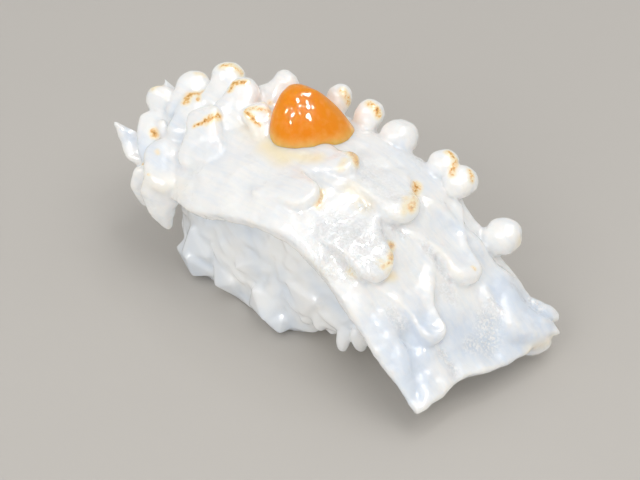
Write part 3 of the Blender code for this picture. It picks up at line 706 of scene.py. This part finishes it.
def paint(mesh, name, values):
    """Keeps a number for each point of the mesh, for its material."""
    layer = mesh.attributes.new(name, "FLOAT", "POINT")
    layer.data.foreach_set("value", np.asarray(values, np.float32))


def add(tree, kind, inputs=None, **settings):
    """Adds a shader node. settings are its own options; inputs gives its sockets numbers, colours or
    links."""
    made = tree.nodes.new("ShaderNode" + kind)
    for name, value in settings.items():
        setattr(made, name, value)
    for name, value in (inputs or {}).items():
        if isinstance(value, bpy.types.NodeSocket):
            tree.links.new(value, made.inputs[name])
        else:
            made.inputs[name].default_value = value
    return made


def new_material(name):
    """An empty material, its node tree, and the place that its patterns are read at."""
    material = bpy.data.materials.new(name)
    material.use_nodes = True
    material.node_tree.nodes.clear()
    return material, material.node_tree, add(material.node_tree, "TexCoord").outputs["Object"]


def surfaced(material, inputs):
    """The material, ended in one shader with these inputs."""
    shader = add(material.node_tree, "BsdfPrincipled", inputs)
    add(material.node_tree, "OutputMaterial", {"Surface": shader.outputs[0]})
    return material


def rgba(parts):
    return (*parts, 1.0)


def torched_squid(squid):
    """Scored squid, torched from above: scattering white flesh with a wet film over it, clearer and bluer
    where it is thin and raw, cream at its rims, and gold to brown where the flame caught it."""
    material, tree, place = new_material("torched_squid")
    shown = {name: add(tree, "Attribute", attribute_name=name).outputs["Fac"] for name in (*STROKES, "bulge")}

    # Flesh, cloudy at about 4 mm
    clouds = add(tree, "TexNoise", {"Vector": place, "Scale": 1 / 0.004, "Detail": 5}).outputs["Fac"]
    # Muscle fibres, about 7 mm along the sheet and 0.8 mm across it
    stretch = add(tree, "Mapping", {"Vector": place, "Scale": (1 / 0.007, 1 / 0.0008, 1 / 0.0016)})
    fibres = add(tree, "TexNoise", {"Vector": stretch.outputs[0], "Scale": 1.0, "Detail": 3}).outputs["Fac"]
    # Blistered skin, in flecks of about 0.5 mm
    blisters = {"Vector": place, "Scale": 1 / 0.0005, "Detail": 4, "Roughness": 0.65}
    flecks = add(tree, "TexNoise", blisters).outputs["Fac"]
    # The flame catches some flecks before others
    broken = add(tree, "Math", {0: flecks, 1: 2.4, 2: -1.2}, operation="MULTIPLY_ADD").outputs[0]
    uneven = add(tree, "Math", {0: shown["toast"], 1: broken}, operation="ADD").outputs[0]

    # How far each pattern or mark shows: what it is read from, the two ends of that, and what they give
    ends = ("Value", "From Min", "From Max", "To Min", "To Max")
    ranges = {
        "cloudy": (clouds, 0.35, 0.7, 0.0, 0.2),
        "streaky": (fibres, 0.42, 0.68, 0.0, 0.3),
        # painted shade: the clear colour darkens the hollows
        "shade_in_hollows": (shown["bulge"], 0.0, -1.2, 0.0, 0.12),
        "rim": (shown["bulge"], 0.5, 1.6, 0.0, 0.2),
        "haze": (shown["toast"], 0.03, 0.6),
        "marked": (shown["toast"], 0.12, 0.3),
        "gold": (uneven, 0.55, 1.0),
        "dark": (uneven, 1.0, 1.35),
        "glint": (flecks, 0.47, 0.55),
        "rough": (clouds, 0.3, 0.7, 0.22, 0.38),
    }
    for name, values in ranges.items():
        shown[name] = add(tree, "MapRange", dict(zip(ends, values))).outputs[0]

    # What comes of two of them together
    pairs = {
        "streaks": ("cloudy", "streaky", "ADD"),
        "clearness": ("clear", "streaks", "ADD"),
        # clear flesh, and painted shade in the hollows
        "clearer": ("clearness", "shade_in_hollows", "ADD"),
        "creamy": ("cream", "rim", "ADD"),
        "golden": ("gold", "marked", "MULTIPLY"),
        # painted highlight: white glint flecks in the sparkle patches
        "white": ("glint", "sparkle", "MULTIPLY"),
    }
    for name, (first, second, how) in pairs.items():
        pair = {0: shown[first], 1: shown[second]}
        shown[name] = add(tree, "Math", pair, operation=how, use_clamp=True).outputs[0]

    # From the flesh up: clear where it is thin or streaked, with painted shade where it is hollow, cream at
    # its rims and by the sauce, the flame's pale haze, gold flecks in that with thin brown cores, and white
    # flecks painted as glints where it sparkles
    layers = {
        # clear flesh, and painted shade in the hollows
        "clearer": squid.clear,
        "creamy": squid.cream,
        "haze": squid.haze,
        "golden": squid.toast,
        "dark": squid.char,
        # painted highlight: the glint flecks painted white
        "white": (1, 1, 1),
    }
    shade = rgba(squid.flesh)
    for name, over in layers.items():
        shade = add(tree, "Mix", {0: shown[name], 6: shade, 7: rgba(over)}, data_type="RGBA").outputs[2]

    # The same painted glint flecks also raise fine bumps in the skin
    frosty = add(tree, "Bump", {"Height": shown["white"], "Distance": 0.00015, "Strength": 0.8}).outputs[0]
    film = {"Height": flecks, "Distance": 0.00005, "Strength": 0.8, "Normal": frosty}
    return surfaced(material, {
        "Base Color": shade,
        "Roughness": shown["rough"],
        "IOR": 1.4,
        "Specular IOR Level": 0.3,
        "Subsurface Weight": 0.85,
        "Subsurface Radius": (1.0, 0.9, 0.85),
        "Subsurface Scale": 0.0025,
        "Coat Weight": 0.8,
        "Coat Roughness": 0.06,
        "Coat IOR": 1.33,
        "Normal": add(tree, "Bump", film).outputs[0],
    })


def sushi_rice(rice):
    """Cooked short-grain rice: swollen starch that light passes into, with a sticky gloss."""
    material, tree, place = new_material("sushi_rice")
    # Starch clouds of about 9 mm, as wide as a lump of grains, white where dense and bluish where clear
    clouds = add(tree, "TexNoise", {"Vector": place, "Scale": 1 / 0.009, "Detail": 2}).outputs["Fac"]
    dense = add(tree, "MapRange", {"Value": clouds, "From Min": 0.3, "From Max": 0.62}).outputs[0]
    shade = add(tree, "Mix", {0: dense, 6: rgba(rice.clear), 7: rgba(rice.starch)}, data_type="RGBA")
    # Fine skin of the grains, about 0.3 mm
    skin = add(tree, "TexNoise", {"Vector": place, "Scale": 1 / 0.0003, "Detail": 2}).outputs["Fac"]
    bump = add(tree, "Bump", {"Height": skin, "Distance": 0.00003, "Strength": 0.4})
    return surfaced(material, {
        "Base Color": shade.outputs[2],
        "Roughness": 0.3,
        "IOR": 1.42,
        "Subsurface Weight": 0.9,
        "Subsurface Radius": (1.0, 0.95, 0.9),
        "Subsurface Scale": 0.003,
        "Coat Weight": 0.7,
        "Coat Roughness": 0.08,
        "Normal": bump.outputs[0],
    })


def urchin_sauce(sauce):
    """Sieved sea urchin in egg and soy: a thick wet paste, orange where it is deep and yellow where it
    runs thin."""
    material, tree, place = new_material("sea_urchin_sauce")
    deep = add(tree, "Attribute", attribute_name="deep").outputs["Fac"]
    # Uneven sieving, about 1.5 mm
    clouds = add(tree, "TexNoise", {"Vector": place, "Scale": 1 / 0.0015, "Detail": 4}).outputs["Fac"]
    sieving = {"Value": clouds, "From Min": 0.3, "From Max": 0.7, "To Min": -0.22, "To Max": 0.22}
    varied = add(tree, "MapRange", sieving).outputs[0]
    depth = add(tree, "Math", {0: deep, 1: varied}, operation="ADD", use_clamp=True).outputs[0]
    body = add(tree, "Mix", {0: depth, 6: rgba(sauce.edge), 7: rgba(sauce.middle)}, data_type="RGBA")
    # Grains of roe left in it, about 0.6 mm
    roe = add(tree, "TexNoise", {"Vector": place, "Scale": 1 / 0.0006, "Detail": 2}).outputs["Fac"]
    bump = add(tree, "Bump", {"Height": roe, "Distance": 0.0001, "Strength": 0.25})
    # Ripples left by the spoon, about 2 mm
    ripples = add(tree, "TexNoise", {"Vector": place, "Scale": 1 / 0.002, "Detail": 1}).outputs["Fac"]
    wet = add(tree, "Bump", {"Height": ripples, "Distance": 0.0001, "Strength": 0.4})
    return surfaced(material, {
        "Base Color": body.outputs[2],
        "Roughness": 0.3,
        "IOR": 1.4,
        "Specular IOR Level": 0.05,
        "Subsurface Weight": 0.8,
        "Subsurface Radius": (1.0, 0.45, 0.12),
        "Subsurface Scale": 0.003,
        "Coat Weight": 0.6,
        "Coat Roughness": 0.03,
        "Coat IOR": 1.4,
        "Coat Normal": wet.outputs[0],
        "Normal": bump.outputs[0],
    })


def matt_floor(stage):
    """Fine matt plaster, plain and pale."""
    material, tree, place = new_material("matt_plaster")
    # Trowel clouds of about 60 mm
    clouds = add(tree, "TexNoise", {"Vector": place, "Scale": 1 / 0.06, "Detail": 3}).outputs["Fac"]
    pale = rgba(part * 1.04 for part in stage.floor)
    shade = add(tree, "Mix", {0: clouds, 6: rgba(stage.floor), 7: pale}, data_type="RGBA")
    return surfaced(material, {"Base Color": shade.outputs[2], "Roughness": 0.8})


def wrinkle(bm, waves):
    """Moves each point along its normal by noise, in waves given as (size, height) in millimetres."""
    bm.normal_update()
    for vert in bm.verts:
        place = vert.co / MM
        push = sum(height * noise.noise(place / size) for size, height in waves)
        vert.co += vert.normal * push * MM


class NIGIRI_OT_squid(bpy.types.Operator):
    """Make the scored, torched sheet of squid"""

    bl_idname = "nigiri.squid"
    bl_label = "Squid"

    def execute(self, context):
        squid, stage = context.scene.nigiri_squid, context.scene.nigiri_stage
        shapes = [slab(squid)]
        shapes += [tongue(squid, **shape) for shape in TONGUES.values()]
        shapes += [knob(squid, **shape) for shape in KNOBS.values()]
        bm = melted(joined(shapes), squid.fineness, SQUID_SMOOTHING)
        wrinkle(bm, WRINKLES)
        tree = BVHTree.FromBMesh(bm)
        piece = finish_piece("torched_squid_sheet", bm, torched_squid(squid), "squid")
        points = read(piece.data, "co", 3)
        for name, strokes in STROKES.items():
            paint(piece.data, name, stroked(points, tree, stage, strokes))
        paint(piece.data, "bulge", bend(piece.data, BULGE_SPREAD))
        return {"FINISHED"}


def rice_girth(x, z):
    """How much the bare block is drawn in at (x, z), where it tucks in under the near end."""
    low = max(1 - z / RICE_MID.z, 0)
    return 1 - TUCK * smooth_step(TUCK_FROM_X, TUCK_FULL_X, x) * low**2


def rice_foot(x, y):
    """How far the block's underside stands off the floor at (x, y), where its near end curves up."""
    return BOW * smooth_step(BOW_FROM, BOW_FULL, x - BOW_SKEW * y)


def rice_crease(place):
    """How deep the block's side dips at a place, between the clumps that pressing makes."""
    near, far = noise.voronoi(place / CLUMP_SIZE)[0][:2]
    return CREASE_DEPTH * max(1 - (far - near) / CREASE_SHARE, 0) ** CREASE_SHARPNESS


def rice_core(depth, gap):
    """The block, drawn in by depth under its grains, gap below the sheet and depth above the floor."""
    bm = bmesh.new()
    bmesh.ops.create_uvsphere(bm, u_segments=CORE_SEGMENTS, v_segments=CORE_RINGS, radius=1)
    for vert in bm.verts:
        reach = sum(abs(part) ** RICE_SQUARENESS for part in vert.co) ** (-1 / RICE_SQUARENESS)
        place = Vector([mid + part * reach * size for mid, part, size in zip(RICE_MID, vert.co, RICE_HALF)])
        inwards = Vector((place.x - RICE_MID.x, place.y - RICE_MID.y, 0)).normalized()
        x, y, z = place - inwards * (depth + rice_crease(place))
        y *= rice_girth(x, max(z, 0))
        vert.co = (x, y, max(min(z, underside(x, y) - gap), rice_foot(x, y) + depth))
    return bm


def rice_ring_point(angle, z):
    """The point of the bare block's side at a plan angle and a height."""
    power = RICE_SQUARENESS
    rise = min(abs(z - RICE_MID.z) / RICE_HALF.z, TOP_SHARE)
    shrink = (1 - rise**power) ** (1 / power)
    flat = (abs(math.cos(angle)) ** power + abs(math.sin(angle)) ** power) ** (-1 / power)
    x = RICE_MID.x + RICE_HALF.x * shrink * flat * math.cos(angle)
    y = RICE_MID.y + RICE_HALF.y * shrink * flat * math.sin(angle)
    return Vector((x, y * rice_girth(x, z), z))


def lump(middle, radius, draw):
    """A lump of grains pressed flat-sided, kept off the floor and the sheet."""
    bm = bmesh.new()
    bmesh.ops.create_icosphere(bm, subdivisions=1, radius=radius)
    turned = Matrix.Rotation(draw.uniform(0, math.tau), 3, Vector((draw.random(), draw.random(), 1)))
    for vert in bm.verts:
        x, y, z = Vector(middle) + turned @ vert.co * (1 - LUMP_FLATTENING * draw.random())
        vert.co = (x, y, max(min(z, underside(x, y) - LUMP_GAP), rice_foot(x, y) + LUMP_LIFT))
    return bm


def grain(rice, place, outwards, level, turn, size, draw, hang=0.0):
    """One grain, lying along level turned about outwards, or nothing where none fits. It may hang below the
    block's foot by hang."""
    bm = bmesh.new()
    bmesh.ops.create_uvsphere(bm, u_segments=GRAIN_SEGMENTS, v_segments=GRAIN_RINGS, radius=1)
    rise = outwards.cross(level)
    lengthwise = (level * math.cos(turn) + rise * math.sin(turn)).normalized()
    lengthwise = (lengthwise + outwards * math.tan(draw.uniform(-GRAIN_TILT, GRAIN_TILT))).normalized()
    sideways = outwards.cross(lengthwise).normalized()
    over = lengthwise.cross(sideways)
    half_long, half_wide = rice.grain_length / MM / 2 * size, rice.grain_width / MM / 2 * size
    bow, blunt = draw.uniform(-GRAIN_BOW, GRAIN_BOW), draw.uniform(-GRAIN_BLUNT, GRAIN_BLUNT)
    for vert in bm.verts:
        share = vert.co.z
        girth = half_wide * (1 - blunt * share) * max(1 - share**2, GRAIN_END) ** -GRAIN_FULLNESS
        aside, out = vert.co.x * girth + bow * share**2, vert.co.y * girth * GRAIN_FLATNESS
        vert.co = place + lengthwise * (share * half_long) + sideways * aside + over * out
    lowest = FLOOR_GAP + max(rice_foot(place.x, place.y) - hang, 0)
    lift = max(lowest - min(vert.co.z for vert in bm.verts), 0)
    bmesh.ops.translate(bm, verts=bm.verts, vec=(0, 0, lift))
    high = max(vert.co.z - underside(vert.co.x, vert.co.y) for vert in bm.verts) + SHEET_GAP
    if high > 0:
        bmesh.ops.translate(bm, verts=bm.verts, vec=(0, 0, -high))
    if min(vert.co.z for vert in bm.verts) >= LEAST_GAP and high < MOST_SHIFT:
        return [bm]
    bm.free()
    return []


def side_grains(rice, draw, depth, pitch, spacing):
    """Rows of grains round the block's sides, evenly spread and each turned by a draw."""
    made = []
    z = rice.grain_width / MM / 2
    row = 0
    top = RICE_MID.z + RICE_HALF.z
    while z < top:
        girth = [rice_ring_point(math.radians(step), z) for step in range(FULL_TURN + 1)]
        gone = [0.0]
        for a, b in zip(girth, girth[1:]):
            gone.append(gone[-1] + (b - a).length)
        count = round(gone[-1] / spacing)
        for number in range(count):
            shifted = number + 0.5 * (row % 2) + draw.uniform(-SHIFT_ALONG, SHIFT_ALONG)
            reach = shifted / count % 1 * gone[-1]
            at = math.radians(next(i for i, far in enumerate(gone) if far >= reach))
            height = z + draw.uniform(-SHIFT_UP, SHIFT_UP)
            beside = rice_ring_point(at, height)
            height = max(height, rice_foot(beside.x, beside.y) + rice.grain_width / MM / 2)
            place = rice_ring_point(at, height)
            ahead, behind = (rice_ring_point(at + turn, height) for turn in (BESIDE_TURN, -BESIDE_TURN))
            above, below = (rice_ring_point(at, height + up) for up in (BESIDE_RISE, -BESIDE_RISE))
            level, rise = (ahead - behind).normalized(), above - below
            outwards = level.cross(rise).normalized()
            sunk = depth + draw.uniform(-SHIFT_IN, SHIFT_IN) + rice_crease(place)
            turn, size = draw.uniform(-GRAIN_TURN, GRAIN_TURN), draw.uniform(SMALL_GRAIN, LARGE_GRAIN)
            made += grain(rice, place - outwards * sunk, outwards, level, turn, size, draw)
        z += pitch
        row += 1
    return made


def bottom_grains(rice, draw):
    """Grains that lie flat under the block, out to its foot."""
    made = []
    half_thick = rice.grain_width / MM / 2 * GRAIN_FLATNESS
    steps = [round(2 * half / BOTTOM_SPACING) for half in (RICE_HALF.x, RICE_HALF.y)]
    for i in range(steps[0]):
        for j in range(steps[1]):
            x, y = (mid + half * (2 * (k + draw.uniform(CELL_EDGE, 1 - CELL_EDGE)) / count - 1)
                    for mid, half, k, count in zip(RICE_MID, RICE_HALF, (i, j), steps))
            turn, size = draw.uniform(0, math.pi), draw.uniform(SMALL_GRAIN, LARGE_GRAIN)
            out = (abs(at - mid) / (half - FOOT_INSET) for at, mid, half in zip((x, y), RICE_MID, RICE_HALF))
            if sum(share**RICE_SQUARENESS for share in out) < 1:
                place = Vector((x, y, rice_foot(x, y) + half_thick))
                made += grain(rice, place, Vector((0, 0, 1)), Vector((1, 0, 0)), turn, size, draw)
    return made


def end_grains(rice, draw):
    """Grains that hang side by side from the near end of the block."""
    made = []
    for middle in END_GRAINS:
        x, y, _ = Vector(middle) - RICE_MID
        outwards = Vector((x, END_SPLAY * y, 0)).normalized()
        level = Vector((0, 0, 1)).cross(outwards)
        turn, size = math.pi / 2 + draw.uniform(-END_TURN, END_TURN), draw.uniform(*END_SIZES)
        made += grain(rice, Vector(middle), outwards, level, turn, size, draw, END_HANG)
    return made


class NIGIRI_OT_rice(bpy.types.Operator):
    """Make the pressed block of rice, grain by grain over a core"""

    bl_idname = "nigiri.rice"
    bl_label = "Rice"

    def execute(self, context):
        rice = context.scene.nigiri_rice
        draw = random.Random(rice.seed)
        grains = [grain for layer in GRAIN_LAYERS for grain in side_grains(rice, draw, *layer)]
        grains += bottom_grains(rice, draw) + end_grains(rice, draw)
        shaping = random.Random(LUMP_SEED)
        lumps = [lump(*placed, shaping) for placed in RICE_LUMPS]
        core = rice_core(CORE_DEPTH, CORE_GAP)
        bm = melted(joined([core, *lumps, *grains]), rice.fineness, RICE_SMOOTHING)
        piece = finish_piece("pressed_rice", bm, sushi_rice(rice), "rice")
        return {"FINISHED"}


class NIGIRI_OT_sauce(bpy.types.Operator):
    """Make the dab of sea urchin sauce"""

    bl_idname = "nigiri.sauce"
    bl_label = "Sauce"

    def execute(self, context):
        squid, sauce = context.scene.nigiri_squid, context.scene.nigiri_sauce
        bm = bmesh.new()
        bmesh.ops.create_uvsphere(bm, u_segments=SAUCE_SEGMENTS, v_segments=SAUCE_RINGS, radius=1)
        domes = []
        for vert in bm.verts:
            angle = math.atan2(vert.co.y, vert.co.x)
            spread = min(math.hypot(vert.co.x, vert.co.y), 1)
            corners = 1 + SAUCE_CORNERS * math.cos(3 * (angle - SAUCE_CORNER_TURN))
            radius = sauce.radius / MM * corners * spread
            x, y = SAUCE_MID[0] + radius * math.cos(angle), SAUCE_MID[1] + radius * math.sin(angle)
            upper = vert.co.z > EQUATOR
            dome = sauce.height / MM * (1 - spread**SAUCE_ROUNDNESS) ** SAUCE_FULLNESS if upper else 0
            place = Vector((x, y, 0))
            lumps = SAUCE_LUMP[1] * noise.noise(place / SAUCE_LUMP[0])
            lumps += SAUCE_DIMPLE[1] * noise.noise(place / SAUCE_DIMPLE[0] + DIMPLE_SHIFT)
            lean_x, lean_y = (part * dome for part in SAUCE_LEAN)
            foot = slab_top(x, y, squid) - (SAUCE_FOOT if upper else SAUCE_UNDERSIDE)
            vert.co = (x + lean_x, y + lean_y, foot + dome + lumps * min(dome / 2, 1))
            domes.append(dome)
        bmesh.ops.recalc_face_normals(bm, faces=bm.faces[:])
        bm.transform(Matrix.Scale(MM, 4))
        piece = finish_piece("urchin_sauce_dab", bm, urchin_sauce(sauce), "sauce")
        paint(piece.data, "deep", np.clip(np.array(domes) / FULL_DEPTH, 0, 1))
        return {"FINISHED"}


def area_lamp(name, place, size, watts, tint):
    """A square lamp that shines from a place in metres at the nigiri."""
    light = bpy.data.lights.new(name, "AREA")
    light.size = size
    light.energy = watts
    light.color = tint
    lamp = bpy.data.objects.new(name, light)
    lamp.location = place
    lamp.rotation_euler = (Vector(LIT_PLACE) - Vector(place)).to_track_quat("-Z", "Y").to_euler()
    bpy.context.scene.collection.objects.link(lamp)
    return lamp


class NIGIRI_OT_stage(bpy.types.Operator):
    """Make the floor, the lights and the camera"""

    bl_idname = "nigiri.stage"
    bl_label = "Stage"

    def execute(self, context):
        stage = context.scene.nigiri_stage
        bm = bmesh.new()
        bmesh.ops.create_grid(bm, x_segments=1, y_segments=1, size=FLOOR_HALF)
        mesh = bpy.data.meshes.new("floor")
        bm.to_mesh(mesh)
        bm.free()
        mesh.materials.append(matt_floor(stage))
        floor = bpy.data.objects.new("floor", mesh)
        context.scene.collection.objects.link(floor)

        eye, right, up, back = camera_frame(stage)
        lens = bpy.data.cameras.new("camera")
        lens.sensor_width = SENSOR_WIDTH
        lens.lens = lens.sensor_width * PHOTO_FOCAL / PHOTO_SIZE[0]
        lens.clip_start = 0.01
        camera = bpy.data.objects.new("camera", lens)
        camera.matrix_world = Matrix.Translation(eye) @ Matrix((right, up, back)).transposed().to_4x4()
        context.scene.collection.objects.link(camera)
        context.scene.camera = camera

        world = bpy.data.worlds.new("soft_room")
        world.use_nodes = True
        sky = world.node_tree.nodes["Background"]
        sky.inputs["Color"].default_value = ROOM_COLOUR
        sky.inputs["Strength"].default_value = ROOM_STRENGTH
        context.scene.world = world

        softbox = area_lamp("overhead_softbox", *SOFTBOX)
        fill = area_lamp("front_fill", *FRONT_FILL)
        softbox.visible_glossy = fill.visible_glossy = False
        for i, (x, y) in enumerate(CEILING_LAMPS):
            lamp = area_lamp(f"ceiling_lamp_{i}", (x, y, CEILING), *CEILING_LAMP)
            lamp.visible_diffuse = False
        context.scene.view_settings.view_transform = "Standard"
        return {"FINISHED"}


class NIGIRI_PT_panel(bpy.types.Panel):
    """The pieces of the nigiri, and what can be changed on each"""

    bl_idname = "NIGIRI_PT_panel"
    bl_label = "Squid Nigiri"
    bl_space_type = "VIEW_3D"
    bl_region_type = "UI"
    bl_category = "Nigiri"

    def draw(self, context):
        for piece in PIECES:
            settings = getattr(context.scene, f"nigiri_{piece}")
            box = self.layout.box()
            box.operator(f"nigiri.{piece}")
            for name in settings.__annotations__:
                box.prop(settings, name)


PIECES = {"squid": SquidSettings, "rice": RiceSettings, "sauce": SauceSettings, "stage": StageSettings}
OPERATORS = [NIGIRI_OT_squid, NIGIRI_OT_rice, NIGIRI_OT_sauce, NIGIRI_OT_stage]
CLASSES = [*PIECES.values(), *OPERATORS, NIGIRI_PT_panel]


def register():
    for made in CLASSES:
        bpy.utils.register_class(made)
    for piece, settings in PIECES.items():
        setattr(bpy.types.Scene, f"nigiri_{piece}", PointerProperty(type=settings))


def unregister():
    for piece in PIECES:
        delattr(bpy.types.Scene, f"nigiri_{piece}")
    for made in reversed(CLASSES):
        bpy.utils.unregister_class(made)


def main():
    register()
    bpy.ops.nigiri.squid()
    bpy.ops.nigiri.rice()
    bpy.ops.nigiri.sauce()
    bpy.ops.nigiri.stage()


if __name__ == "__main__":
    main()
